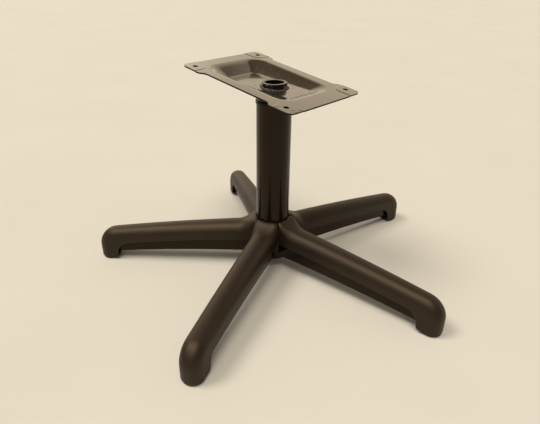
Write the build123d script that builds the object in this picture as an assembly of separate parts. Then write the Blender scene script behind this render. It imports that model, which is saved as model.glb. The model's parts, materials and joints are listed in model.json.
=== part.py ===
from build123d import *
import os
from math import atan, cos, degrees, pi, radians, sin

# Five-star swivel base of an office chair, in millimetres.
# The origin is on the floor, on the axis of the column, with +Z up and leg 1 along +X.

# Star
LEG_COUNT = 5
GLIDE_CIRCLE_RADIUS = 322.0

# Fits: running fit of the spindle, and play between pieces that are pressed or welded together
RUN_CLEARANCE = 0.05
SEAT_GAP = 0.05

# Column tube, and the spindle that stands out of its top
COLUMN_OD = 60.3
COLUMN_WALL = 2.9
COLUMN_BOTTOM = 20.0
COLUMN_TOP = 314.0
SPINDLE_OD = 42.4
SPINDLE_WALL = 5.0
SPINDLE_STAND = 33.2

# Bushes, thrust stack and retaining pieces of the swivel
BUSH_LENGTH = 40.0
BUSH_FLANGE = 4.0
BUSH_LIP = 1.1
BUSH_SPACING = 80.0
THRUST_WASHER = 1.5
THRUST_OD = 56.0
END_FLOAT = 0.3
RETAINING_WASHER = 2.0
RETAINING_WASHER_OD = 53.0
RING_THICKNESS = 1.6
RING_WIDTH = 4.0
RING_SLOT = 12.0
GROOVE_DEPTH = 1.2
SPINDLE_TAIL = 6.0

# Seat plate: pressed sheet, raked about the Y axis and turned a little off the line of leg 1, whose
# bolt pads stand this far over the column where the axis meets them
SHEET = 2.6
RAKE = 9.3
SEAT_TURN = -3.7
PAD_STAND = 37.0
PAD_RISE = 0.6
PAD_TAPER = 70.0
PAD_REACH = 17.0
PLATE_BACK = -128.0
PLATE_FRONT = 110.5
EAR_HALF = 89.0
WAIST_HALF = 81.0
EAR_LENGTH = 42.0
EAR_SLOPE = 9.0
PLATE_CORNER = 10.0
EAR_FILLET = 8.0
HOLE_PITCH_LONG = 200.0
HOLE_PITCH_WIDE = 150.0
HOLE_CENTRE = -10.0
HOLE_DIAMETER = 8.5

# Dished well in the plate, with a floor that is lifted nearer to level than the flange
WELL_BACK = -98.0
WELL_FRONT = 75.0
WELL_HALF = 61.0
WELL_CORNER = 26.0
WELL_DEPTH = 11.1
WELL_RIM_RADIUS = 22.0
WELL_FLOOR_RADIUS = 8.0
FLOOR_BACK = -79.8
FLOOR_FRONT = 53.2
FLOOR_HALF = 34.5
FLOOR_CORNER = 8.0
FLOOR_LIFT = 4.0

# Weld bead where the spindle stands through the well floor
WELD_SIZE = 2.6
WELD_OFFSET = 0.4

# Leg beams: tapered channels, open below
BEAM_SHEET = 2.5
BEAM_HALF_HUB = 15.0
BEAM_HALF_END = 11.0
BEAM_TOP_HUB = 77.0
BEAM_TOP_END = 53.0
BEAM_UNDER_HUB = 28.5
BEAM_UNDER_MID = 25.5
BEAM_UNDER_END = 14.0
BEAM_BEND = 6.0
BEAM_PAST_GLIDE = 4.0
BEAM_NOSE_DROP = 11.0
BEAM_NOSE_LENGTH = 20.0

# Leg covers: moulded shells
COVER_WALL = 2.5
COVER_HALF_HUB = 24.0
COVER_HALF_END = 18.3
CROWN_RUN = 308.0
CROWN_HUB = 92.5
CROWN_END = 63.8
CROWN_BOW = 2.6
CROWN_FLAT = 1.5
NOSE_RADIUS = 36.0
COLLAR_TOP = 100.7
COLLAR_GAP = 1.3
COLLAR_RIM = 2.2
COLLAR_SWEEP = 30.0
COLLAR_SHOULDER = 9.0
SWEEP_STATIONS = 5
RUN_STATIONS = 4
SEAM = 2.0
SKIRT_HUB = 59.0
SKIRT_MID = 52.3
SKIRT_END = 38.5
SKIRT_RUN = 280.0
SKIRT_FILLET = 26.0
BOOT_BOTTOM = 5.5
BOOT_HEEL = 6.0
RIB_THICKNESS = 2.0
RIB_STATIONS = (95.0, 180.0, 262.0)
RIB_CLEARANCE = 0.3
RIB_LIFT = 3.0

# Glides
GLIDE_DIAMETER = 33.0
GLIDE_HEIGHT = 5.0
GLIDE_EDGE = 1.6
GLIDE_BOSS_DIAMETER = 22.0
GLIDE_BOSS_HEIGHT = 3.0
STEM_DIAMETER = 11.0
STEM_LENGTH = 28.0
STEM_SUNK = 5.0
SOCKET_OD = 19.0
SOCKET_LENGTH = 32.0

# Sizes that follow from the ones above
COLUMN_RADIUS = COLUMN_OD / 2
COLUMN_BORE = COLUMN_RADIUS - COLUMN_WALL
SPINDLE_RADIUS = SPINDLE_OD / 2
SPINDLE_FIT = SPINDLE_RADIUS + RUN_CLEARANCE
BUSH_TOP = COLUMN_TOP + BUSH_FLANGE
COLLAR_SEAT = BUSH_TOP + THRUST_WASHER
LOWER_BUSH_TOP = COLUMN_TOP - BUSH_LENGTH - BUSH_SPACING
LOWER_BUSH_BOTTOM = LOWER_BUSH_TOP - BUSH_LENGTH
WASHER_TOP = LOWER_BUSH_BOTTOM - END_FLOAT
RING_TOP = WASHER_TOP - RETAINING_WASHER
RING_BOTTOM = RING_TOP - RING_THICKNESS
SPINDLE_BOTTOM = RING_BOTTOM - SPINDLE_TAIL
SPINDLE_TOP = COLUMN_TOP + SPINDLE_STAND
PAD_PLANE = COLUMN_TOP + PAD_STAND
FLANGE_TOP = PAD_PLANE - PAD_RISE / cos(radians(RAKE))
SECTOR = 360 / LEG_COUNT
BEAM_END = GLIDE_CIRCLE_RADIUS + BEAM_PAST_GLIDE
NOSE_LEAN = atan((CROWN_HUB - CROWN_END + 4 * CROWN_BOW) / CROWN_RUN)
NOSE_X = CROWN_RUN - NOSE_RADIUS * sin(NOSE_LEAN)
NOSE_Z = CROWN_END - NOSE_RADIUS * cos(NOSE_LEAN)
RIM_X = COLUMN_RADIUS + COLLAR_GAP + COLLAR_RIM
SWEEP_X = RIM_X + COLLAR_SWEEP
GLIDE_TOP = GLIDE_HEIGHT + GLIDE_BOSS_HEIGHT
FAR = 2 * (CROWN_RUN + PAD_PLANE)


def ring(outer_radius, inner_radius, bottom, top):
    """Plain tube on the Z axis."""
    return post(outer_radius, bottom, top) - post(inner_radius, bottom, top)


def post(radius, bottom, top):
    """Plain cylinder on the Z axis."""
    return Pos(Z=bottom) * Cylinder(radius, top - bottom, align=(Align.CENTER, Align.CENTER, Align.MIN))


def leg_side(face):
    """Solid of a face drawn as (along the leg, up), thick enough to cut right across the leg."""
    return extrude(Plane.XZ * face, amount=FAR, both=True)


# Column and swivel bearing


def column_tube():
    return ring(COLUMN_RADIUS, COLUMN_BORE, COLUMN_BOTTOM, COLUMN_TOP)


def upper_bush():
    spigot = ring(COLUMN_BORE - SEAT_GAP, SPINDLE_FIT, COLUMN_TOP - BUSH_LENGTH, COLUMN_TOP)
    lip = ring(COLUMN_RADIUS + BUSH_LIP, SPINDLE_FIT, COLUMN_TOP, BUSH_TOP)
    return spigot + lip


def lower_bush():
    return ring(COLUMN_BORE - SEAT_GAP, SPINDLE_FIT, LOWER_BUSH_BOTTOM, LOWER_BUSH_TOP)


def thrust_washer():
    return ring(THRUST_OD / 2, SPINDLE_FIT, BUSH_TOP, COLLAR_SEAT)


def thrust_collar():
    blank = ring(THRUST_OD / 2, SPINDLE_RADIUS + SEAT_GAP, COLLAR_SEAT, FLANGE_TOP)
    return blank & below_floor(SHEET)


def spindle_tube():
    tube = ring(SPINDLE_RADIUS, SPINDLE_RADIUS - SPINDLE_WALL, SPINDLE_BOTTOM, SPINDLE_TOP)
    groove = ring(SPINDLE_OD, SPINDLE_RADIUS - GROOVE_DEPTH, RING_BOTTOM, RING_TOP)
    return tube - groove


def retaining_washer():
    return ring(RETAINING_WASHER_OD / 2, SPINDLE_FIT, RING_TOP, WASHER_TOP)


def retaining_ring():
    inner = SPINDLE_RADIUS - GROOVE_DEPTH + SEAT_GAP
    slot = Box(FAR, RING_SLOT, FAR, align=(Align.MIN, Align.CENTER, Align.CENTER))
    return ring(inner + RING_WIDTH, inner, RING_BOTTOM, RING_TOP) - slot


# Seat plate


def plate_frame():
    """Frame of the seat plate: X down the rake, Z off the flange, origin where the axis meets it."""
    return Pos(Z=FLANGE_TOP) * Rot(Z=SEAT_TURN) * Rot(Y=RAKE)


def floor_frame():
    """Frame of the well's floor, within the frame of the plate: its origin is on the spindle's axis."""
    upright = Rot(Y=-RAKE)
    return upright * Pos(Z=-WELL_DEPTH) * Rot(Y=RAKE - FLOOR_LIFT)


def below_floor(drop):
    """Everything lower than the well's floor, or than a plane dropped from it along the flange's normal."""
    slab = Box(FAR, FAR, FAR, align=(Align.CENTER, Align.CENTER, Align.MAX))
    return plate_frame() * Pos(Z=-drop) * floor_frame() * slab


def plate_outline():
    """Outline with an ear at each corner and a waist along each side."""
    back_waist = PLATE_BACK + EAR_LENGTH
    front_waist = PLATE_FRONT - EAR_LENGTH
    half = [
        (PLATE_BACK, EAR_HALF),
        (back_waist, EAR_HALF),
        (back_waist + EAR_SLOPE, WAIST_HALF),
        (front_waist - EAR_SLOPE, WAIST_HALF),
        (front_waist, EAR_HALF),
        (PLATE_FRONT, EAR_HALF),
    ]
    other = [(x, -y) for x, y in reversed(half)]
    bends = [PLATE_CORNER] + [EAR_FILLET] * 4 + [PLATE_CORNER]
    return make_face(FilletPolyline(*half, *other, radius=bends + bends, close=True))


def hole_centres():
    """Centres of the four seat bolts."""
    ends = [HOLE_CENTRE + side * HOLE_PITCH_LONG / 2 for side in (-1, 1)]
    return [(x, side * HOLE_PITCH_WIDE / 2) for x in ends for side in (-1, 1)]


def corner_pad(x, y):
    """Raised pad at a hole: it rounds the hole with a sloping edge and runs out past the plate's corner."""
    far = HOLE_PITCH_WIDE / 2
    out = far - PAD_REACH
    right = out if x > HOLE_CENTRE else -out
    up = out if y > 0 else -out
    return extrude(Pos(x + right, y + up) * RectangleRounded(2 * far, 2 * far, PAD_REACH),
                   amount=PAD_RISE, taper=PAD_TAPER)


def span(back, front, half, corner):
    """Rounded rectangle between two places along the plate."""
    return Pos((back + front) / 2, 0) * RectangleRounded(front - back, 2 * half, corner)


def well_hollow():
    """Space inside the well, from the rim on the flange to the floor."""
    rim = span(WELL_BACK, WELL_FRONT, WELL_HALF, WELL_CORNER)
    floor = floor_frame() * span(FLOOR_BACK, FLOOR_FRONT, FLOOR_HALF, FLOOR_CORNER)
    return loft([rim, floor], ruled=True)


def well_loop(sheet, frame):
    """Edges round the well that lie in the XY plane of a frame."""
    level = Plane(frame)

    def round_well(edge):
        middle = edge.center()
        along = WELL_BACK - SHEET < middle.X < WELL_FRONT + SHEET
        return along and abs(middle.Y) < WELL_HALF + SHEET

    def flat(edge):
        return all(level.contains(edge @ place) for place in (0, 0.5, 1))

    return sheet.edges().filter_by(round_well).filter_by(flat)


def dished_sheet(outline):
    """Sheet pressed down into the well, with rounded bends on both of its faces."""
    hollow = well_hollow()
    lower_face = Pos(Z=-SHEET)
    sheet = extrude(outline, amount=-SHEET) + lower_face * hollow - hollow
    bends = [
        (Pos(), WELL_RIM_RADIUS),
        (lower_face, WELL_RIM_RADIUS - SHEET),
        (floor_frame(), WELL_FLOOR_RADIUS),
        (lower_face * floor_frame(), WELL_FLOOR_RADIUS + SHEET),
    ]
    for frame, radius in bends:
        sheet = fillet(well_loop(sheet, frame), radius)
    return sheet


def seat_plate():
    outline = plate_outline()
    plate = dished_sheet(outline)
    for x, y in hole_centres():
        pad = corner_pad(x, y) & extrude(outline, amount=PAD_RISE)
        plate = plate + pad - Pos(Z=-SHEET) * pad
        plate -= Pos(x, y) * Cylinder(HOLE_DIAMETER / 2, 4 * SHEET)
    return plate_frame() * plate - post(SPINDLE_RADIUS + SEAT_GAP, 0, FAR)


def spindle_weld():
    bead = Torus(SPINDLE_RADIUS + WELD_OFFSET, WELD_SIZE)
    laid = plate_frame() * floor_frame() * bead
    return laid - below_floor(0) - post(SPINDLE_RADIUS + SEAT_GAP, 0, FAR)


# Legs


def beam_form(inset):
    """Solid outer form of a leg beam, drawn in by inset at the sides and top."""
    hub = BEAM_HALF_HUB - inset
    end = BEAM_HALF_END - inset
    plan = Polyline((0, hub), (BEAM_END, end), (BEAM_END, -end), (0, -hub), close=True)
    top = BEAM_TOP_END - inset
    nose = BEAM_END - BEAM_NOSE_LENGTH
    side = Polyline((0, 0), (0, BEAM_TOP_HUB - inset), (nose, top), (BEAM_END, top - BEAM_NOSE_DROP),
                    (BEAM_END, 0), close=True)
    form = extrude(make_face(plan), amount=FAR) & leg_side(make_face(side))
    bends = form.edges().filter_by(lambda edge: abs((edge % 0.5).X) > 0.5 and edge.center().Z > SKIRT_END)
    return fillet(bends, BEAM_BEND - inset)


def leg_beam():
    arch = ThreePointArc((0, BEAM_UNDER_HUB), (BEAM_END / 2, BEAM_UNDER_MID), (BEAM_END, BEAM_UNDER_END))
    around = Polyline(arch @ 0, (0, -1), (BEAM_END, -1), arch @ 1)
    channel = beam_form(0) - beam_form(BEAM_SHEET) - leg_side(make_face([arch, around]))
    socket = Pos(X=GLIDE_CIRCLE_RADIUS) * post(SOCKET_OD / 2 + SEAT_GAP, 0, FAR)
    return channel - post(COLUMN_RADIUS + SEAT_GAP, 0, FAR) - socket


def across(x, z=0.0, lean=0.0):
    """Plane across a leg: its X is the width, its Y is up, leaning outwards by an angle in radians."""
    return Plane(origin=(x, 0, z), x_dir=(0, 1, 0), z_dir=(cos(lean), 0, -sin(lean)))


def arch(half, crest, shoulder, base):
    """Arch-shaped face: upright sides, rounded shoulders and a level crown."""
    spring = crest - shoulder
    flat = half - shoulder
    bulge = shoulder * sin(radians(45))
    left = ThreePointArc((-half, spring), (-flat - bulge, spring + bulge), (-flat, crest))
    right = ThreePointArc((flat, crest), (flat + bulge, spring + bulge), (half, spring))
    edges = [Line((-half, base), (-half, spring)), left, Line((-flat, crest), (flat, crest)), right,
             Line((half, spring), (half, base)), Line((half, base), (-half, base))]
    return make_face(edges)


def bowed_line(x):
    """Gently bowed line of the crown from the hub to the nose."""
    share = x / CROWN_RUN
    return CROWN_HUB + (CROWN_END - CROWN_HUB) * share + 4 * CROWN_BOW * share * (1 - share)


def crown_height(x):
    """Height of the crown line, with the sweep that lifts it into the collar."""
    lift = COLLAR_TOP - bowed_line(RIM_X)
    share = min(max((SWEEP_X - x) / COLLAR_SWEEP, 0), 1)
    return COLLAR_TOP if x <= RIM_X else bowed_line(x) + lift * share ** 2


def cover_half(x):
    """Half width of a cover along its taper."""
    return COVER_HALF_HUB + (COVER_HALF_END - COVER_HALF_HUB) * x / CROWN_RUN


def cover_station(x, inset, base):
    """Arch across the cover at x: its shoulders round off along the sweep."""
    half = cover_half(x) - inset
    share = min(max((x - RIM_X) / COLLAR_SWEEP, 0), 1)
    rounded = share * share * (3 - 2 * share)
    shoulder = COLLAR_SHOULDER - inset + (half - CROWN_FLAT - COLLAR_SHOULDER + inset) * rounded
    return across(x) * arch(half, crown_height(x) - inset, shoulder, base)


def cover_form(inset):
    """Solid form of a leg cover before it is trimmed, drawn in by inset all over."""
    base = BOOT_BOTTOM - inset
    half = COVER_HALF_END - inset
    shoulder = half - CROWN_FLAT
    reach = NOSE_RADIUS - inset
    bend_start = across(NOSE_X, NOSE_Z, NOSE_LEAN)
    end = bend_start * arch(half, reach, shoulder, base - NOSE_Z)
    collar = loft([cover_station(x, inset, base) for x in (0, RIM_X)], ruled=True)
    sweep_up = loft([cover_station(x, inset, base) for x in stations(RIM_X, SWEEP_X, SWEEP_STATIONS)])
    run = loft([cover_station(x, inset, base) for x in stations(SWEEP_X, NOSE_X, RUN_STATIONS)[:-1]] + [end])
    bend = revolve(bend_start * arch(half, reach, shoulder, 0), Axis((NOSE_X, 0, NOSE_Z), (0, 1, 0)),
                   90 - degrees(NOSE_LEAN))
    boot = extrude(across(NOSE_X, NOSE_Z, pi / 2) * arch(half, reach, shoulder, -SKIRT_FILLET),
                   amount=NOSE_Z - base)
    return collar + sweep_up + run + bend + boot


def stations(first, last, count):
    """Evenly spaced places along a leg."""
    return [first + (last - first) * index / (count - 1) for index in range(count)]


def below_skirt(lift):
    """Everything under the lower edge of a cover, raised by lift, as far as the rounded heel of the boot."""
    hub = SKIRT_HUB + lift
    run = ThreePointArc((0, hub), (SKIRT_RUN / 2, SKIRT_MID + lift), (SKIRT_RUN, SKIRT_END + lift))
    drop = JernArc(run @ 1, run % 1, SKIRT_FILLET, -(run % 1).get_angle(Vector(0, -1)))
    inner = (drop @ 1).X
    heel_top = BOOT_BOTTOM + BOOT_HEEL
    bulge = BOOT_HEEL * (1 - cos(radians(45)))
    heel = ThreePointArc((inner, heel_top), (inner + bulge, BOOT_BOTTOM + bulge),
                         (inner + BOOT_HEEL, BOOT_BOTTOM))
    down = Line(drop @ 1, (inner, heel_top))
    around = Polyline(heel @ 1, (inner + BOOT_HEEL, -FAR), (-FAR, -FAR), (-FAR, hub), run @ 0)
    return leg_side(make_face([run, drop, down, heel, around]))


def sector():
    """Wedge of one leg, short of its neighbours by half a seam at each side."""
    half = radians(SECTOR / 2)
    apex = SEAM / 2 / sin(half)
    corner = apex + FAR * cos(half)
    wedge = Polyline((apex, 0), (corner, FAR * sin(half)), (corner, -FAR * sin(half)), close=True)
    return extrude(make_face(wedge), amount=FAR)


def cover_ribs(cavity):
    """Ribs that seat the cover on its beam."""
    slabs = [Pos(X=x) * Box(RIB_THICKNESS, FAR, FAR) for x in RIB_STATIONS]
    return (cavity & Compound(slabs)) - beam_form(-RIB_CLEARANCE) - below_skirt(RIB_LIFT)


def leg_cover():
    cavity = cover_form(COVER_WALL)
    shell = cover_form(0) - cavity - below_skirt(0)
    shell = (shell & sector()) - post(COLUMN_RADIUS + COLLAR_GAP, 0, FAR)
    return shell + cover_ribs(cavity)


# Glides


def glide_pad():
    pad = post(GLIDE_DIAMETER / 2, 0, GLIDE_HEIGHT)
    pad = chamfer(pad.edges().group_by(Axis.Z)[0], GLIDE_EDGE)
    pad += post(GLIDE_BOSS_DIAMETER / 2, GLIDE_HEIGHT, GLIDE_TOP)
    pad -= post(STEM_DIAMETER / 2 + SEAT_GAP, GLIDE_TOP - STEM_SUNK, GLIDE_TOP)
    return Pos(X=GLIDE_CIRCLE_RADIUS) * pad


def glide_stem():
    bottom = GLIDE_TOP - STEM_SUNK
    return Pos(X=GLIDE_CIRCLE_RADIUS) * post(STEM_DIAMETER / 2, bottom, bottom + STEM_LENGTH)


def glide_socket():
    bore = STEM_DIAMETER / 2 + SEAT_GAP
    return Pos(X=GLIDE_CIRCLE_RADIUS) * ring(SOCKET_OD / 2, bore, GLIDE_TOP, GLIDE_TOP + SOCKET_LENGTH)


def build():
    """Every node of the base by name."""
    nodes = {
        "column_tube": column_tube(),
        "upper_bush": upper_bush(),
        "lower_bush": lower_bush(),
        "thrust_washer": thrust_washer(),
        "thrust_collar": thrust_collar(),
        "spindle_tube": spindle_tube(),
        "spindle_weld": spindle_weld(),
        "retaining_washer": retaining_washer(),
        "retaining_ring": retaining_ring(),
        "seat_plate": seat_plate(),
    }
    of_each_leg = {
        "leg_beam": leg_beam(),
        "leg_cover": leg_cover(),
        "glide_pad": glide_pad(),
        "glide_stem": glide_stem(),
        "glide_socket": glide_socket(),
    }
    for name, piece in of_each_leg.items():
        for index in range(LEG_COUNT):
            nodes[f"{name}_{index + 1}"] = Rot(Z=SECTOR * index) * piece
    return nodes


os.makedirs("parts", exist_ok=True)
for node, solid in build().items():
    export_step(solid, f"parts/{node}.step")
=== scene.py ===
# %% [markdown]
# # The base of an office chair
#
# This lesson dresses an office chair base: a raked steel plate that carries the seat, a black
# column that it swivels on, and a star of legs under moulded covers. The solids come from CAD as a
# frame that is never moved. Blender adds the smooth moulded covers, the uneven weld, the finishes,
# the floor, the light and the camera. All sizes are in metres and +Z is up.

# %% Load the frame
import json
import math

import bmesh
import bpy
from mathutils import Matrix, Vector


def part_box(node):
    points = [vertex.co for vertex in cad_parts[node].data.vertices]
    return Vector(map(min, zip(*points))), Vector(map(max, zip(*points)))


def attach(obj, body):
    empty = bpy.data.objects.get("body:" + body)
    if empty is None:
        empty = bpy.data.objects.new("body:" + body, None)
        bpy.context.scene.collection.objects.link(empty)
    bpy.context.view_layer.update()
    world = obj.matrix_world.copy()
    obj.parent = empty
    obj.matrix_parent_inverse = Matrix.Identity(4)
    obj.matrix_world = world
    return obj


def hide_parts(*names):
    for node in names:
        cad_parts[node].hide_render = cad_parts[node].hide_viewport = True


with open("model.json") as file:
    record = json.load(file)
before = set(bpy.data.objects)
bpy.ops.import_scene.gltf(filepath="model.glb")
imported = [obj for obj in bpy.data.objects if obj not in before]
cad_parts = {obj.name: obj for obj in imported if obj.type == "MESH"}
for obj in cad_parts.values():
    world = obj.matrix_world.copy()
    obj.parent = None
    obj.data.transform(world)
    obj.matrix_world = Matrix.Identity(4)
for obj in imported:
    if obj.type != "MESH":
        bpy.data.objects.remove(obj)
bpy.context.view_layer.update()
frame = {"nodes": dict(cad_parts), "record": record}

# %% [markdown]
# ## Shader sums written as Python
#
# A finish is a small network of nodes. Wiring each node by hand is long to read, so one class wraps
# a socket and lets ordinary signs add Math nodes: `1 - mask` and `noise * 0.3` become nodes. Every
# other kind of node comes from the single method `add`, which sets the node's own settings first
# and then fills or links its sockets. The same class serves shader trees and geometry trees.

# %% The socket class
class Flow:
    """An output socket in a node tree; sums on it add Math nodes, and add() puts in any other node."""

    def __init__(self, tree, socket=None):
        self.tree = tree
        self.socket = socket

    def add(self, kind, settings=None, sockets=None, output=0):
        """A node of any kind: its settings first, then the values or links of its sockets."""
        node = self.tree.nodes.new(kind)
        for name, value in (settings or {}).items():
            setattr(node, name, value)
        for key, value in (sockets or {}).items():
            if isinstance(value, Flow):
                self.tree.links.new(value.socket, node.inputs[key])
            else:
                node.inputs[key].default_value = value
        return Flow(self.tree, node.outputs[output])

    def math(self, operation, first, second):
        return self.add("ShaderNodeMath", {"operation": operation}, {0: first, 1: second})

    def absolute(self):
        return self.math("ABSOLUTE", self, 0.0)

    def __add__(self, other):
        return self.math("ADD", self, other)

    def __radd__(self, other):
        return self.math("ADD", other, self)

    def __sub__(self, other):
        return self.math("SUBTRACT", self, other)

    def __rsub__(self, other):
        return self.math("SUBTRACT", other, self)

    def __mul__(self, other):
        return self.math("MULTIPLY", self, other)

    def __rmul__(self, other):
        return self.math("MULTIPLY", other, self)

    def __truediv__(self, other):
        return self.math("DIVIDE", self, other)

    def __rtruediv__(self, other):
        return self.math("DIVIDE", other, self)


print("socket class ready")

# %% [markdown]
# ## Helpers that every finish shares
#
# Object coordinates are used for all patterns, because each piece sits at the origin with its place
# in its mesh: the pattern then has a real scale, in metres, and stays on the piece when the seat
# turns. `step` makes a soft mask, `mix` blends two colours, and `near` marks a spot in space.

# %% Finish helpers
NOISE_ROUGHNESS = 0.55
SPOT_CORE = 0.35        # share of a spot's reach that is fully marked


def new_finish(name):
    """An empty material, its shader node and its object coordinates."""
    material = bpy.data.materials.new(name)
    material.use_nodes = True
    tree = material.node_tree
    shader = tree.nodes["Principled BSDF"]
    place = Flow(tree).add("ShaderNodeTexCoord", output="Object")
    return material, shader, place


def noise(place, scale, detail=4.0):
    """Unevenness from 0 to 1 that is finer where the scale is larger."""
    return place.add("ShaderNodeTexNoise", None,
                     {"Vector": place, "Scale": scale, "Detail": detail, "Roughness": NOISE_ROUGHNESS})


def step(value, low, high):
    """Soft mask: 0 below low, 1 above high, either way round."""
    return value.add("ShaderNodeMapRange", {"interpolation_type": "SMOOTHSTEP"},
                     {"Value": value, "From Min": low, "From Max": high})


def band(value, low, high, soft):
    """Soft mask of the stretch between two values."""
    return step(value, low - soft, low) * step(value, high + soft, high)


def mix(factor, first, second):
    """Blend of two colours, each a colour or a socket."""
    return factor.add("ShaderNodeMix", {"data_type": "RGBA"}, {0: factor, 6: first, 7: second}, output=2)


def near(place, point, reach):
    """Mask that is 1 round a point and 0 beyond its reach."""
    gap = place.add("ShaderNodeVectorMath", {"operation": "DISTANCE"}, {0: place, 1: point}, output="Value")
    return step(gap, reach, reach * SPOT_CORE)


def bump(height, depth, strength):
    """Small unevenness for a shader's Normal, as deep as a real distance."""
    return height.add("ShaderNodeBump", None, {"Height": height, "Distance": depth, "Strength": strength})


def parts(vector):
    """The three parts of a vector."""
    node = vector.add("ShaderNodeSeparateXYZ", None, {"Vector": vector}).socket.node
    return [Flow(vector.tree, socket) for socket in node.outputs]


def length(x, y):
    """Length of a flat vector."""
    flat = x.add("ShaderNodeCombineXYZ", None, {"X": x, "Y": y})
    return x.add("ShaderNodeVectorMath", {"operation": "LENGTH"}, {0: flat}, output="Value")


def connect(shader, **links):
    """Links flows to the shader's sockets, with _ for a space in a socket's name."""
    for name, flow in links.items():
        flow.tree.links.new(flow.socket, shader.inputs[name.replace("_", " ")])


print("finish helpers ready")

# %% [markdown]
# ## The covers' plastic
#
# The leg covers are moulded in charcoal plastic with a fine grain. The grain breaks up the
# highlights, so it goes into the bump, and a slower noise shifts the colour and the gloss a little.
# The feet of the boots carry pale scuffs, and the tips of the collars are rubbed paler.

# %% Cover plastic
WARM_SHINE = (1.0, 0.79, 0.59, 1.0)
COVER_DARK, COVER_LIGHT = (0.0094, 0.0062, 0.0038, 1), (0.0128, 0.0086, 0.0054, 1)
SCUFF_COLOUR, RUBBED_COLOUR = (0.20, 0.165, 0.125, 1), (0.16, 0.14, 0.11, 1)
COVER_GRAIN_DEPTH = 0.00012
BOOT_SCUFF_TOP, BOOT_SCUFF_FULL = 0.030, 0.006
COLLAR_TIP_LOW, COLLAR_TIP_FULL = 0.086, 0.099
COLLAR_TIP_REACH, COLLAR_TIP_CORE = 0.0385, 0.0335


def cover_plastic():
    material, shader, place = new_finish("cover_plastic")
    x, y, z = parts(place)
    cloud = noise(place, 14.0)
    grain = noise(place, 1500.0, detail=2.0)
    rubbed = step(noise(place, 60.0), 0.60, 0.72)
    spots = step(noise(place, 330.0, detail=3.0), 0.66, 0.72)
    scuffs = spots * step(z, BOOT_SCUFF_TOP, BOOT_SCUFF_FULL) * rubbed
    at_column = step(length(x, y), COLLAR_TIP_REACH, COLLAR_TIP_CORE)
    tips = at_column * step(z, COLLAR_TIP_LOW, COLLAR_TIP_FULL) * rubbed
    tint = mix(step(cloud, 0.30, 0.70), COVER_DARK, COVER_LIGHT)
    worn = mix(scuffs, tint, SCUFF_COLOUR)
    connect(shader,
            Base_Color=mix(tips * 0.5, worn, RUBBED_COLOUR),
            Roughness=0.46 + 0.10 * cloud + 0.2 * scuffs,
            Normal=bump(grain, COVER_GRAIN_DEPTH, 0.45))
    shader.inputs["Specular IOR Level"].default_value = 0.44
    shader.inputs["Specular Tint"].default_value = WARM_SHINE
    return material


plastic = cover_plastic()
print("finish", plastic.name)

# %% [markdown]
# ## Black gloss paint
#
# The column, the beams and the thrust collar are sprayed in black gloss. Spray paint has a faint
# orange-peel skin, which shows as a slight wobble in long reflections. A bump from a noise gives that
# skin without any extra faces. Some patches are duller, and a few specks of dust lie on it.

# %% Gloss paint
GLOSS_BLACK, GLOSS_DUST = (0.0070, 0.0043, 0.0024, 1), (0.09, 0.065, 0.04, 1)
PEEL_DEPTH = 0.00010


def gloss_paint():
    material, shader, place = new_finish("gloss_black_paint")
    peel = noise(place, 240.0, detail=2.0)
    dull = noise(place, 22.0)
    dust = step(noise(place, 620.0, detail=2.0), 0.70, 0.76)
    connect(shader,
            Base_Color=mix(dust * 0.25, GLOSS_BLACK, GLOSS_DUST),
            Roughness=0.12 + 0.10 * step(dull, 0.35, 0.75),
            Normal=bump(peel, PEEL_DEPTH, 0.25))
    shader.inputs["Specular IOR Level"].default_value = 0.25
    shader.inputs["Specular Tint"].default_value = WARM_SHINE
    return material


gloss = gloss_paint()
print("finish", gloss.name)

# %% [markdown]
# ## The plate's worn paint
#
# The seat plate is dark gloss paint too. It looks taupe only because it mirrors the bright side of the
# room at a low angle, so its own colour stays dark under a clear coat. On it lie a thin film of dust,
# dark specks and pale crumbs, most of them in the well, a dotted line of dirt at the low end of the
# well's floor, and rust where the seat rubbed one pad. Painted shade darkens the walls of the bolt
# holes and lays a dark streak along the foot of the near wall.
# Those places belong to the plate, which is raked, so a Mapping node first turns object coordinates
# into the plate's own: X down the slope, Y across, Z off its face. The bolt mounts of the record give
# those axes, so the plate's angles aren't typed in.

# %% The plate's own axes
mounts = {mount["name"]: mount for mount in frame["record"]["mounts"]}
high = Vector(mounts["seat_bolts_high_end"]["pos_m"])
low = Vector(mounts["seat_bolts_low_end"]["pos_m"])
plate_z = Vector(mounts["seat_bolts_low_end"]["axis"]).normalized()
plate_x = (low - high).normalized()
plate_y = plate_z.cross(plate_x)
plate_turn = Matrix((plate_x, plate_y, plate_z)).transposed()
pads_on_axis = Vector((0, 0, high.dot(plate_z) / plate_z.z))
print("plate raked by", round(math.degrees(plate_z.angle(Vector((0, 0, 1)))), 2), "degrees")

# %% [markdown]
# Folding the plate's coordinates about its two middle lines lays the four bolt holes on one spot, so
# a single distance marks all of them: their walls are bare and painted dark as shade, and each has a
# rubbed ring. The other marks are masks in the plate's own metres, each one where it lies on the real
# plate, and the streak of painted shade where the shade falls.

# %% Places on the plate
BOLT_HALF_LONG = (low - high).length / 2
BOLT_MIDDLE = ((low + high) / 2 - pads_on_axis).dot(plate_x)
BOLT_HALF_WIDE = mounts["seat_bolts_low_end"]["dims"]["pcd_mm"] / 2000
HOLE_RADIUS = mounts["seat_bolts_low_end"]["dims"]["hole_r_mm"] / 1000
# The bolt holes' walls are bare and painted dark as shade.
BARE_SHADED_REACH, BARE_SHADED_CORE = HOLE_RADIUS + 0.0004, HOLE_RADIUS + 0.0001
RING_REACH, RING_CORE = 0.0105, 0.0085
WELL_START, WELL_FULL = -0.004, -0.006
DIRT_LINE_X, DIRT_LINE_HALF = 0.0615, 0.001
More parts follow.
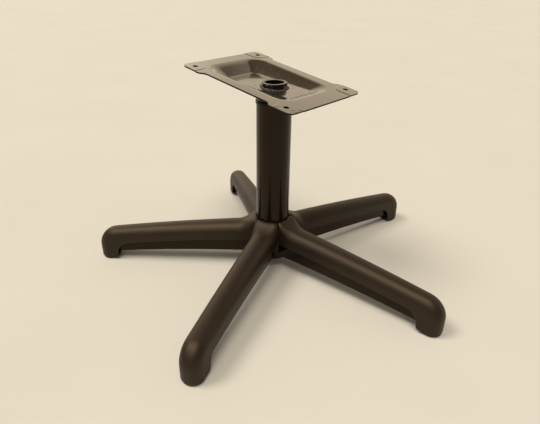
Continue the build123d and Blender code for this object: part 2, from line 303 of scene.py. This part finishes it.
# The streak is painted shade: a dark band on the well's floor along the foot of the near wall.
SHADE_STREAK_START, SHADE_STREAK_END, SHADE_STREAK_FADE = -0.002, 0.051, 0.005
SHADE_STREAK_NEAR, SHADE_STREAK_FAR, SHADE_STREAK_SPREAD = -0.0365, -0.0320, 0.0050
SHADE_STREAK_WOBBLE = 0.004
BEND_BACK, BEND_FRONT, BEND_HALF = -0.108, 0.083, 0.068
FLANGE_FACE = -0.0006
EDGE_START, EDGE_FULL = FLANGE_FACE - 0.0001, FLANGE_FACE - 0.0005
MASK_SOFT = 0.001
RUST_SPOTS = (((0.106, -0.071, 0.0), 0.013, 0.85), ((0.083, -0.086, 0.0), 0.010, 0.4))
print("bolt holes", round(BOLT_HALF_LONG * 2, 3), "by", round(BOLT_HALF_WIDE * 2, 3), "m apart")


# %% Marks on the plate
def folded(value, middle, half):
    """Distance from the nearer of two lines that lie half to each side of a middle."""
    return ((value - middle).absolute() - half).absolute()


def dirt_and_painted_shade(local, in_well, fine, blots):
    """Mask of the specks, of the dotted line at the low end and of the streak of painted shade at the near
    wall.
    """
    x, y, _ = parts(local)
    specks = step(noise(local, 330.0, detail=1.0), 0.675, 0.715) * (0.2 + 0.8 * in_well)
    low_line = band(x, DIRT_LINE_X - DIRT_LINE_HALF, DIRT_LINE_X + DIRT_LINE_HALF, MASK_SOFT)
    dotted = low_line * step(blots, 0.44, 0.52)
    widening = SHADE_STREAK_SPREAD * step(x, SHADE_STREAK_START, SHADE_STREAK_END)
    shade_streak_edge = SHADE_STREAK_FAR + widening + SHADE_STREAK_WOBBLE * (fine - 0.5)
    # Painted shade along the foot of the near wall.
    shade_streak = band(y, SHADE_STREAK_NEAR, shade_streak_edge, MASK_SOFT) * band(x, SHADE_STREAK_START, SHADE_STREAK_END, SHADE_STREAK_FADE)
    return step((dotted + shade_streak) * in_well + specks, 0.0, 1.0)


def cut_edge(local):
    """Mask of the sheet's cut edge: outside the bends and below the flange's face."""
    x, y, z = parts(local)
    inside = band(x, BEND_BACK, BEND_FRONT, MASK_SOFT) * band(y, -BEND_HALF, BEND_HALF, MASK_SOFT)
    return (1.0 - inside) * step(z, EDGE_START, EDGE_FULL)


def pad_rust(local):
    """Mask of the rust where the seat rubbed one pad."""
    patches = step(noise(local, 95.0), 0.46, 0.58)
    rust = 0.0
    for spot, reach, depth in RUST_SPOTS:
        rust = rust + near(local, spot, reach) * patches * depth
    return rust


print("marks on the plate ready, with", len(RUST_SPOTS), "spots of rust")

# %% Plate paint, with painted shade
DUST_DARK, DUST_LIGHT = (0.030, 0.020, 0.010, 1), (0.046, 0.032, 0.018, 1)
CRUMB_COLOUR, RING_COLOUR = (0.17, 0.14, 0.10, 1), (0.016, 0.012, 0.008, 1)
# The first dark is for the dirt and for the streak of painted shade at the near wall.
DIRT_AND_SHADE_COLOUR, RUST_COLOUR = (0.006, 0.005, 0.004, 1), (0.080, 0.036, 0.014, 1)
# Dark of the bare cut edge, and painted shade in the bolt holes.
BARE_AND_SHADE_COLOUR = (0.005, 0.0035, 0.0022, 1)
PLATE_GRAIN_DEPTH = 0.00006


def plate_paint_and_shade():
    material, shader, place = new_finish("worn_plate_paint_with_shade")
    local = place.add("ShaderNodeMapping", {"vector_type": "TEXTURE"},
                      {"Vector": place, "Location": pads_on_axis, "Rotation": plate_turn.to_euler()})
    x, y, z = parts(local)
    from_hole = length(folded(x, BOLT_MIDDLE, BOLT_HALF_LONG), folded(y, 0.0, BOLT_HALF_WIDE))
    film = noise(local, 9.0, detail=5.0)
    fine = noise(local, 160.0, detail=3.0)
    blots = noise(local, 210.0, detail=2.0)
    in_well = step(z, WELL_START, WELL_FULL)
    crumbs = step(noise(local, 420.0, detail=1.0), 0.70, 0.74) * in_well
    # Dirt, and the streak of painted shade at the near wall.
    dirt_and_shade = dirt_and_painted_shade(local, in_well, fine, blots)
    edge = cut_edge(local)
    rust = pad_rust(local)
    # Bare walls of the bolt holes, painted dark as shade.
    bare_and_shaded = step(from_hole, BARE_SHADED_REACH, BARE_SHADED_CORE)
    ring = step(from_hole, RING_REACH, RING_CORE) * step(blots, 0.45, 0.65)
    dusty = mix(step(film, 0.30, 0.70), DUST_DARK, DUST_LIGHT)
    crumbed = mix(crumbs, dusty, CRUMB_COLOUR)
    rubbed = mix(ring * 0.35, crumbed, RING_COLOUR)
    dirty = mix(dirt_and_shade, rubbed, DIRT_AND_SHADE_COLOUR)
    rusty = mix(rust, dirty, RUST_COLOUR)
    connect(shader,
            Base_Color=mix(step(bare_and_shaded + edge, 0.0, 1.0), rusty, BARE_AND_SHADE_COLOUR),
            Roughness=0.13 + 0.08 * film + 0.25 * rust + 0.75 * dirt_and_shade + 0.7 * bare_and_shaded + 0.5 * edge,
            Coat_Weight=0.95 * (1.0 - step(dirt_and_shade + bare_and_shaded + edge + rust, 0.0, 1.0)),
            Normal=bump(fine + dirt_and_shade, PLATE_GRAIN_DEPTH, 0.25))
    shader.inputs["Coat Roughness"].default_value = 0.10
    shader.inputs["Coat IOR"].default_value = 1.9
    shader.inputs["Specular IOR Level"].default_value = 0.20
    return material


plate_finish = plate_paint_and_shade()
print("finish", plate_finish.name)

# %% [markdown]
# ## The small finishes
#
# The weld and the spindle are painted over, the bushes and the glides are plain black plastic, and the
# bare steel of the swivel and the glides is hidden or seen from below. Each still gets its own grain,
# because a single flat colour looks like a toy from any distance. They differ only in their values, so
# one function makes them all.

# %% Small finishes
def grained(name, dark, light, roughness, scale, depth, metallic=0.0, specular=0.5):
    """A finish whose colour, gloss and bump all follow one fine grain."""
    material, shader, place = new_finish(name)
    grain = noise(place, scale)
    connect(shader,
            Base_Color=mix(step(grain, 0.35, 0.68), (*dark, 1), (*light, 1)),
            Roughness=roughness + 0.15 * grain,
            Normal=bump(grain, depth, 0.4))
    shader.inputs["Metallic"].default_value = metallic
    shader.inputs["Specular IOR Level"].default_value = specular
    return material


weld_paint = grained("painted_weld", dark=(0.010, 0.008, 0.006), light=(0.050, 0.040, 0.029),
                     roughness=0.16, scale=420.0, depth=0.0002)
spindle = grained("spindle_paint", dark=(0.004, 0.003, 0.002), light=(0.010, 0.008, 0.006),
                  roughness=0.08, scale=260.0, depth=0.00004)
bearing = grained("bearing_plastic", dark=(0.005, 0.004, 0.003), light=(0.009, 0.007, 0.005),
                  roughness=0.30, scale=300.0, depth=0.00005, specular=0.15)
glide = grained("glide_plastic", dark=(0.010, 0.009, 0.008), light=(0.026, 0.023, 0.020),
                roughness=0.45, scale=380.0, depth=0.0001)
steel = grained("bright_steel", dark=(0.46, 0.45, 0.43), light=(0.58, 0.57, 0.55),
                roughness=0.22, scale=700.0, depth=0.00003, metallic=1.0)
print("finishes", [finish.name for finish in (weld_paint, spindle, bearing, glide, steel)])

# %% [markdown]
# ## Every piece gets its finish
#
# Each CAD node is one piece of the real object, named for its kind and, where a kind repeats, with a
# number at the end. Without that number the name is a key into one table of finishes.

# %% Put the finishes on the CAD nodes
FINISHES = {
    "column_tube": gloss, "leg_beam": gloss, "spindle_tube": spindle, "thrust_collar": gloss,
    "seat_plate": plate_finish, "spindle_weld": weld_paint, "leg_cover": plastic,
    "upper_bush": bearing, "lower_bush": bearing, "thrust_washer": bearing, "glide_socket": bearing,
    "glide_pad": glide, "glide_stem": steel, "retaining_washer": steel, "retaining_ring": steel,
}
for name, node in frame["nodes"].items():
    kind = name.rstrip("_12345")
    node.data.materials.clear()
    node.data.materials.append(FINISHES[kind])
print("finished nodes", len(frame["nodes"]))

# %% [markdown]
# ## A leg cover as one grid
#
# A cover is a shell that follows one rule from end to end: across the leg it is an arch with upright
# sides and rounded shoulders, and along the leg that arch starts at the collar, runs down the bowed
# crown, turns over the nose and ends as the boot round the glide. Such a shape is a grid: one row of
# points for each arch. The grid gives clean, even faces with soft shading, where a cut-up solid
# would leave slivers. The sizes repeat those of the CAD cover.

# %% Sizes of a cover
LEGS = 5
COLUMN_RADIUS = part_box("column_tube")[1].x
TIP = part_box("leg_cover_1")[1].x
COLLAR_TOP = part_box("leg_cover_1")[1].z
BOOT_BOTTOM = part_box("leg_cover_1")[0].z
WALL = 0.0025
COLLAR_GAP, COLLAR_RIM, COLLAR_SWEEP = 0.0013, 0.0022, 0.030
COLLAR_INNER = COLUMN_RADIUS + COLLAR_GAP
RIM_X = COLLAR_INNER + COLLAR_RIM
SWEEP_X = RIM_X + COLLAR_SWEEP
COLLAR_SHOULDER = 0.009
SEAM_HALF = 0.001
SEAM_APEX = SEAM_HALF / math.sin(math.pi / LEGS)
HALF_HUB, HALF_END = 0.024, 0.0183
CROWN_FLAT = 0.0015
CROWN_RUN, CROWN_HUB, CROWN_END, CROWN_BOW = 0.308, 0.0925, 0.0638, 0.0026
NOSE_RADIUS = 0.036
NOSE_LEAN = math.atan((CROWN_HUB - CROWN_END + 4 * CROWN_BOW) / CROWN_RUN)
NOSE_X = TIP - NOSE_RADIUS
NOSE_Z = CROWN_END - NOSE_RADIUS * math.cos(NOSE_LEAN)
SKIRT_RUN, SKIRT_HUB, SKIRT_MID, SKIRT_END = 0.280, 0.059, 0.0523, 0.0385
SKIRT_TURN = 0.026
HEEL = 0.006
print("cover from", round(COLLAR_INNER, 4), "to", round(TIP, 4))


# %% Lines that the cover follows
def blend(t):
    """Smooth rise from 0 to 1."""
    t = min(max(t, 0.0), 1.0)
    return t * t * (3 - 2 * t)


def bowed_line(x):
    """Crown along the run: a straight fall from the hub to the end, bowed up between them."""
    share = x / CROWN_RUN
    return CROWN_HUB + (CROWN_END - CROWN_HUB) * share + 4 * CROWN_BOW * share * (1 - share)


def crown_height(x):
    """Crown of the arch at x, with the sweep that lifts it into the collar."""
    share = min(max((SWEEP_X - x) / (SWEEP_X - RIM_X), 0.0), 1.0)
    return bowed_line(max(x, RIM_X)) + (COLLAR_TOP - bowed_line(RIM_X)) * share ** 2


def half_width(x):
    """Half the width at x, which tapers towards the end."""
    return HALF_HUB + (HALF_END - HALF_HUB) * min(x / CROWN_RUN, 1.0)


def shoulder(x):
    """Radius of the shoulder at x: small at the collar, and almost the half width past the sweep."""
    full = half_width(x) - CROWN_FLAT
    return COLLAR_SHOULDER + (full - COLLAR_SHOULDER) * blend((x - RIM_X) / (SWEEP_X - RIM_X))


def skirt_height(x):
    """Lower edge along the run: a parabola through the edge's two ends and its middle."""
    share = x / SKIRT_RUN
    sag = 4 * (SKIRT_MID - (SKIRT_HUB + SKIRT_END) / 2)
    return SKIRT_HUB + (SKIRT_END - SKIRT_HUB) * share + sag * share * (1 - share)


SLOPE_STEP = 0.001
skirt_fall = math.atan2(skirt_height(SKIRT_RUN - SLOPE_STEP) - SKIRT_END, SLOPE_STEP)
turn_x = SKIRT_RUN - SKIRT_TURN * math.sin(skirt_fall)
turn_z = SKIRT_END - SKIRT_TURN * math.cos(skirt_fall)
BOOT_INNER = turn_x + SKIRT_TURN


def lower_edge_at(x):
    """Lower edge from the hub round into the boot, by x."""
    if x <= SKIRT_RUN:
        return skirt_height(x)
    return turn_z + math.sqrt(SKIRT_TURN ** 2 - (x - turn_x) ** 2)


def boot_edge_at(z):
    """Inner edge of the boot, by z, down to its rounded heel."""
    if z > turn_z:
        return turn_x + math.sqrt(max(SKIRT_TURN ** 2 - (z - turn_z) ** 2, 0.0))
    drop = BOOT_BOTTOM + HEEL - z
    return BOOT_INNER + (HEEL - math.sqrt(max(HEEL ** 2 - drop ** 2, 0.0)) if drop > 0 else 0.0)


print("boot inner edge at", round(BOOT_INNER, 4))

# %% [markdown]
# Each row holds the same points across: up one side, round the shoulder, over the crown and down
# again. The rows at the hub don't start on one line: their ends follow the round column and the
# seams between neighbouring covers, so the collars of all the legs close into one ring.

# %% Points of one row
SIDE_STEPS = 6
TURN_STEPS = 10
SETTLE_TURNS = 12
half_row = [("side", i / SIDE_STEPS) for i in range(SIDE_STEPS)]
half_row += [("turn", i / TURN_STEPS) for i in range(TURN_STEPS + 1)]
across = [(1, *spot) for spot in half_row]
across.append((0, "crown", 1.0))
across += [(-1, *spot) for spot in reversed(half_row)]


def arch_point(spot, lower, upper, up, half, bend):
    """One point of an arch between a lower and an upper point, whose shoulders round along up."""
    side, part, share = spot
    foot = upper - up * bend
    if part == "side":
        at, y = lower.lerp(foot, share), half
    elif part == "turn":
        angle = share * math.pi / 2
        at, y = foot + up * bend * math.sin(angle), half - bend + bend * math.cos(angle)
    else:
        at, y = upper, 0.0
    return Vector((at.x, side * y, at.y))


def upright_arch(spot, x):
    """One point of the upright arch at x."""
    return arch_point(spot, Vector((x, lower_edge_at(x))), Vector((x, crown_height(x))),
                      Vector((0, 1)), half_width(x), shoulder(x))


def hub_edge(y):
    """Where a cover starts at the hub: at the round column, or at the seam with its neighbour."""
    ring = math.sqrt(max(COLLAR_INNER ** 2 - y * y, 0.0))
    return max(ring, SEAM_APEX + abs(y) / math.tan(math.pi / LEGS))


def hub_arch(spot, share):
    """Point of a row near the hub; x and y depend on each other, so they settle in a few turns."""
    x = RIM_X
    for _ in range(SETTLE_TURNS):
        start = hub_edge(upright_arch(spot, x).y)
        x = start + (SWEEP_X - start) * share
    return upright_arch(spot, x)


print("points across", len(across))

# %% Rows of the grid
HUB_ROWS, RUN_ROWS, NOSE_ROWS, BOOT_ROWS = 14, 16, 14, 9
HUB_CROWDING = 1.3      # above 1, the rows lie closer together at the column
LEAN_FROM = 0.222       # the rows lean over from here
SLOW_FROM = 0.255       # the rows' feet lag behind their crowns from here
NOSE_FOOT_X = 0.2905    # foot of the first row of the nose


def run_row(x):
    """Row along the run: upright at first, then leaning until it meets the nose."""
    lean = NOSE_LEAN * blend((x - LEAN_FROM) / (CROWN_RUN - LEAN_FROM))
    slow = max(x - SLOW_FROM, 0.0) / (CROWN_RUN - SLOW_FROM)
    foot = min(x, SLOW_FROM) + (NOSE_FOOT_X - SLOW_FROM) * slow
    lower, upper = Vector((foot, lower_edge_at(foot))), Vector((x, bowed_line(x)))
    up = Vector((math.sin(lean), math.cos(lean)))
    return [arch_point(spot, lower, upper, up, half_width(x), shoulder(x)) for spot in across]


def nose_row(share):
    """Row on the nose: the arch turns about the nose's centre."""
    turn = NOSE_LEAN + (math.pi / 2 - NOSE_LEAN) * share
    up = Vector((math.sin(turn), math.cos(turn)))
    foot = NOSE_FOOT_X + (boot_edge_at(NOSE_Z) - NOSE_FOOT_X) * share
    upper = Vector((NOSE_X, NOSE_Z)) + up * NOSE_RADIUS
    return [arch_point(spot, Vector((foot, lower_edge_at(foot))), upper, up, HALF_END, HALF_END - CROWN_FLAT)
            for spot in across]


def boot_row(share):
    """Level row of the boot, from the nose's centre down to its foot."""
    z = NOSE_Z + (BOOT_BOTTOM - NOSE_Z) * share
    return [arch_point(spot, Vector((boot_edge_at(z), z)), Vector((TIP, z)), Vector((1, 0)),
                       HALF_END, HALF_END - CROWN_FLAT) for spot in across]


rows = [[hub_arch(spot, (i / HUB_ROWS) ** HUB_CROWDING) for spot in across] for i in range(HUB_ROWS)]
rows += [run_row(SWEEP_X + (CROWN_RUN - SWEEP_X) * i / RUN_ROWS) for i in range(RUN_ROWS)]
rows += [nose_row(i / NOSE_ROWS) for i in range(NOSE_ROWS)]
rows += [boot_row(math.sin(i / BOOT_ROWS * math.pi / 2)) for i in range(BOOT_ROWS + 1)]
print("rows", len(rows))

# %% [markdown]
# The grid is one sheet, so a Solidify modifier gives it the moulded wall and a Bevel rounds the
# edges that catch the light. Both are then made real, because what follows copies the plain mesh.

# %% Helpers for meshes
def sheet_mesh(name, rows):
    """A grid of rows as a mesh whose faces point outwards."""
    mesh = bpy.data.meshes.new(name)
    width = len(rows[0])
    points = [tuple(point) for row in rows for point in row]
    faces = [(i * width + j, i * width + j + 1, (i + 1) * width + j + 1, (i + 1) * width + j)
             for i in range(len(rows) - 1) for j in range(width - 1)]
    mesh.from_pydata(points, [], faces)
    work = bmesh.new()
    work.from_mesh(mesh)
    crown = max(work.faces, key=lambda face: face.calc_center_median().z)
    work.normal_update()
    if crown.normal.z < 0:
        bmesh.ops.reverse_faces(work, faces=work.faces)
    work.to_mesh(mesh)
    work.free()
    return mesh


def made_real(obj, name):
    """The plain mesh of an object with its modifiers applied; the object itself is removed."""
    bpy.context.view_layer.update()
    evaluated = obj.evaluated_get(bpy.context.evaluated_depsgraph_get())
    mesh = bpy.data.meshes.new_from_object(evaluated)
    mesh.name = name
    bpy.data.objects.remove(obj)
    return mesh


def linked(name, data):
    """A new object in the scene, at the origin."""
    obj = bpy.data.objects.new(name, data)
    bpy.context.scene.collection.objects.link(obj)
    return obj


sheet = sheet_mesh("cover_sheet", rows)
print("sheet of", len(sheet.polygons), "faces")

# %% The cover as a shell
EDGE_ROUNDING, EDGE_SEGMENTS = 0.0007, 2
ROUNDED_FROM, SHARP_FROM = math.radians(45), math.radians(50)
shell = linked("cover_sheet", sheet)
shell.data.shade_smooth()
wall = shell.modifiers.new("wall", "SOLIDIFY")
wall.thickness = WALL
wall.offset = -1.0      # the wall grows inwards from the sheet
edges = shell.modifiers.new("edges", "BEVEL")
edges.width = EDGE_ROUNDING
edges.segments = EDGE_SEGMENTS
edges.limit_method = "ANGLE"
edges.angle_limit = ROUNDED_FROM
cover_mesh = made_real(shell, "one_cover")
cover_mesh.set_sharp_from_angle(angle=SHARP_FROM)
print("one cover", len(cover_mesh.polygons), "faces")

# %% [markdown]
# ## Five covers from one
#
# The legs repeat round the column, which is what Geometry Nodes are for: the tree places one point
# per leg, turns a copy of the cover to each, makes the copies real and gives them their plastic.
# The number of legs is an input of the tree.

# %% The star tree
def new_tree(name, inputs):
    """A geometry tree with a geometry input, more named inputs, and a geometry output."""
    tree = bpy.data.node_groups.new(name, "GeometryNodeTree")
    tree.interface.new_socket("Geometry", in_out="INPUT", socket_type="NodeSocketGeometry")
    tree.interface.new_socket("Geometry", in_out="OUTPUT", socket_type="NodeSocketGeometry")
    for label, kind in inputs.items():
        tree.interface.new_socket(label, in_out="INPUT", socket_type=kind)
    source = tree.nodes.new("NodeGroupInput")
    return tree, {socket.name: Flow(tree, socket) for socket in source.outputs if socket.name}


def close_tree(tree, geometry, finish):
    """The end of a tree: its instances are made real and get their finish."""
    real = geometry.add("GeometryNodeRealizeInstances", None, {"Geometry": geometry})
    dressed = real.add("GeometryNodeSetMaterial", None, {"Geometry": real, "Material": finish})
    sink = tree.nodes.new("NodeGroupOutput")
    tree.links.new(dressed.socket, sink.inputs[0])


def run_tree(name, mesh, tree, values):
    """A new object whose plain mesh is what the tree makes of a mesh with these inputs."""
    carrier = linked(name + "_carrier", mesh)
    modifier = carrier.modifiers.new("tree", "NODES")
    modifier.node_group = tree
    keys = {item.name: item.identifier for item in tree.interface.items_tree if item.in_out == "INPUT"}
    for label, value in values.items():
        modifier[keys[label]] = value
    return linked(name, made_real(carrier, name))


def star_tree():
    """One copy of a leg's geometry for each leg, turned about the column."""
    tree, inputs = new_tree("star_of_legs", {"Legs": "NodeSocketInt", "Finish": "NodeSocketMaterial"})
    flow = Flow(tree)
    points = flow.add("GeometryNodePoints", None, {"Count": inputs["Legs"]})
    turn = flow.add("GeometryNodeInputIndex") * (2 * math.pi) / inputs["Legs"]
    euler = flow.add("ShaderNodeCombineXYZ", None, {"Z": turn})
    copies = flow.add("GeometryNodeInstanceOnPoints", None,
                      {"Points": points, "Instance": inputs["Geometry"], "Rotation": euler})
    close_tree(tree, copies, inputs["Finish"])
    return tree


covers = run_tree("leg_covers", cover_mesh, star_tree(), {"Legs": LEGS, "Finish": plastic})
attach(covers, "base")
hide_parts(*(f"leg_cover_{i + 1}" for i in range(LEGS)))
print(covers.name, len(covers.data.polygons), "faces")

# %% [markdown]
# ## The weld
#
# The spindle stands through the floor of the plate's well and is welded round. A weld is a row of
# overlapping beads of uneven size, so a second tree walks a circle, drops a flattened ball at each
# step with a seeded random size, and makes them one mesh. The ring is then laid on the well's floor,
# which is raked a little less than the plate.

# %% The weld tree
BEAD_SMALLEST, BEAD_LARGEST = 0.75, 1.15
BEAD_WIDE, BEAD_TALL = 1.1, 0.85
BEAD_SUBDIVISIONS = 3


def weld_tree():
    """Beads on a circle, each of them larger or smaller than the bead size by its own random factor."""
    tree, inputs = new_tree("weld_round_spindle", {
        "Radius": "NodeSocketFloat", "Beads": "NodeSocketInt", "Bead Size": "NodeSocketFloat",
        "Seed": "NodeSocketInt", "Finish": "NodeSocketMaterial"})
    flow = Flow(tree)
    circle = flow.add("GeometryNodeMeshCircle", None,
                      {"Vertices": inputs["Beads"], "Radius": inputs["Radius"]})
    size = flow.add("FunctionNodeRandomValue", {"data_type": "FLOAT"},
                    {2: BEAD_SMALLEST, 3: BEAD_LARGEST, "Seed": inputs["Seed"]}, output=1)
    ball = flow.add("GeometryNodeMeshIcoSphere", None,
                    {"Radius": inputs["Bead Size"], "Subdivisions": BEAD_SUBDIVISIONS})
    scale = flow.add("ShaderNodeCombineXYZ", None,
                     {"X": size * BEAD_WIDE, "Y": size * BEAD_WIDE, "Z": size * BEAD_TALL})
    beads = flow.add("GeometryNodeInstanceOnPoints", None,
                     {"Points": circle, "Instance": ball, "Scale": scale})
    smooth = flow.add("GeometryNodeSetShadeSmooth", None, {"Geometry": beads})
    close_tree(tree, smooth, inputs["Finish"])
    return tree


bead_tree = weld_tree()
print("weld tree with", len(bead_tree.nodes), "nodes")

# %% The weld on the well's floor
SPINDLE_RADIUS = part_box("spindle_tube")[1].x
WELD_STANDOFF = 0.0003
WELD_BEADS, BEAD_RADIUS, BEAD_SEED = 34, 0.0026, 7
WELL_FLOOR_DEPTH = 0.0117
FLOOR_LIFT = math.radians(4.0)
weld = run_tree("spindle_weld_beads", bpy.data.meshes.new("no_mesh"), bead_tree, {
    "Radius": SPINDLE_RADIUS + WELD_STANDOFF, "Beads": WELD_BEADS, "Bead Size": BEAD_RADIUS,
    "Seed": BEAD_SEED, "Finish": weld_paint})
well_floor_on_axis = pads_on_axis - Vector((0, 0, WELL_FLOOR_DEPTH))
floor_turn = plate_turn @ Matrix.Rotation(-FLOOR_LIFT, 3, "Y")
weld.data.transform(Matrix.Translation(well_floor_on_axis) @ floor_turn.to_4x4())
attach(weld, "seat")
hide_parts("spindle_weld")
print(weld.name, len(weld.data.polygons), "faces")

# %% [markdown]
# ## The floor
#
# The floor is plain, pale and warm, and wide enough to fill the picture. One large square will do: a
# broad, weak noise in its colour is all that it needs. It is a stage for the picture and no piece of
# the object.

# %% Floor
FLOOR_HALF = 14.0
FLOOR_DARK, FLOOR_LIGHT = (0.790, 0.735, 0.630, 1), (0.810, 0.755, 0.650, 1)
work = bmesh.new()
bmesh.ops.create_grid(work, x_segments=1, y_segments=1, size=FLOOR_HALF)
floor_mesh = bpy.data.meshes.new("floor")
work.to_mesh(floor_mesh)
work.free()
floor = linked("floor", floor_mesh)
floor_finish, floor_shader, floor_place = new_finish("pale_floor")
shade = mix(step(noise(floor_place, 2.2), 0.3, 0.7), FLOOR_DARK, FLOOR_LIGHT)
connect(floor_shader, Base_Color=shade)
floor_shader.inputs["Roughness"].default_value = 0.7
floor_shader.inputs["Specular IOR Level"].default_value = 0.1
floor_mesh.materials.append(floor_finish)
print("floor", FLOOR_HALF * 2, "m wide")

# %% [markdown]
# ## The light
#
# Two broad, high suns, one a little in front and one on the left, give soft shadows, and the sky fills
# them. Black gloss paint shows little but what it mirrors, so the sky matters most in reflections. For
# glossy rays it is a room: dim on the camera's side, bright and warm behind the chair base, and
# brighter still on the left behind and at a panel of the ceiling in front. Painting the room on the
# sky takes a few nodes and no walls. The camera itself always sees a plain pale sky.

# %% Sky
SKY = (1.0, 0.94, 0.84, 1.0)
SKY_FILL = 0.28
MIRRORED_FRONT = (0.17, 0.13, 0.085, 1.0)
MIRRORED_PATCHES = {    # way to a patch, dot product with that way at its rim and where it is full, colour
    "back": (Vector((-0.10, 0.95, -0.28)), 0.32, 0.49, (1.0, 0.83, 0.60, 1.0)),
    "left": (Vector((-0.85, 0.30, 0.43)), 0.86, 0.96, (1.8, 1.52, 1.14, 1.0)),
    "ceiling": (Vector((0.05, -0.55, 0.83)), 0.80, 0.92, (2.0, 1.78, 1.48, 1.0)),
}
world = bpy.data.worlds.new("studio")
bpy.context.scene.world = world
world.use_nodes = True
sky = Flow(world.node_tree)
path = sky.add("ShaderNodeLightPath").socket.node.outputs
to_camera, glossy = (Flow(world.node_tree, path[f"Is {kind} Ray"]) for kind in ("Camera", "Glossy"))
direction = sky.add("ShaderNodeTexCoord", output="Generated")
mirrored = MIRRORED_FRONT
for way, rim, full, colour in MIRRORED_PATCHES.values():
    facing = sky.add("ShaderNodeVectorMath", {"operation": "DOT_PRODUCT"}, {0: direction, 1: way},
                     output="Value")
    mirrored = mix(step(facing, rim, full), mirrored, colour)
fill = mix(to_camera, [SKY_FILL * part for part in SKY], SKY)
background = world.node_tree.nodes["Background"]
world.node_tree.links.new(mix(glossy, fill, mirrored).socket, background.inputs["Color"])
print("sky fill", SKY_FILL, "with mirrored patches", list(MIRRORED_PATCHES))

# %% Suns
SUN_COLOUR = (1.0, 0.95, 0.87)
SUNS = {    # way that a sun shines, energy, width in degrees
    "front_sun": ((-0.20, 0.30, -0.93), 1.3, 30),
    "left_sun": ((0.40, 0.38, -0.83), 1.3, 24),
}
for name, (toward, energy, width) in SUNS.items():
    light = bpy.data.lights.new(name, "SUN")
    light.energy = energy
    light.color = SUN_COLOUR
    light.angle = math.radians(width)
    sun = linked(name, light)
    sun.rotation_mode = "QUATERNION"
    sun.rotation_quaternion = Vector(toward).to_track_quat("-Z", "Y")
    sun.visible_camera = False
print("suns", list(SUNS))

# %% [markdown]
# ## The camera
#
# The picture is taken from the photograph's own place. The camera's place, heading, pitch, lens and
# shift were fitted to the plate, the column and the legs. The shift moves the picture without turning
# the camera, so upright lines stay as they are.

# %% Camera
CAMERA_AT = Vector((0.4672, -0.6067, 0.5138))
CAMERA_HEADING = math.radians(39.42)
CAMERA_PITCH = math.radians(27.97)
SENSOR_WIDTH = 36.0
IMAGE_WIDTH = 540
FOCAL_PIXELS = 460.6
SHIFT_RIGHT_PIXELS, SHIFT_UP_PIXELS = 10.4, -0.6
forward = Vector((-math.sin(CAMERA_HEADING) * math.cos(CAMERA_PITCH),
                  math.cos(CAMERA_HEADING) * math.cos(CAMERA_PITCH),
                  -math.sin(CAMERA_PITCH)))
camera_data = bpy.data.cameras.new("camera")
camera_data.sensor_width = SENSOR_WIDTH
camera_data.lens = FOCAL_PIXELS / IMAGE_WIDTH * SENSOR_WIDTH
camera_data.shift_x = SHIFT_RIGHT_PIXELS / IMAGE_WIDTH
camera_data.shift_y = SHIFT_UP_PIXELS / IMAGE_WIDTH
camera = linked("camera", camera_data)
camera.location = CAMERA_AT
camera.rotation_mode = "QUATERNION"
camera.rotation_quaternion = forward.to_track_quat("-Z", "Y")
bpy.context.scene.camera = camera
bpy.context.scene.view_settings.view_transform = "Standard"
print("lens", round(camera_data.lens, 2), "mm")
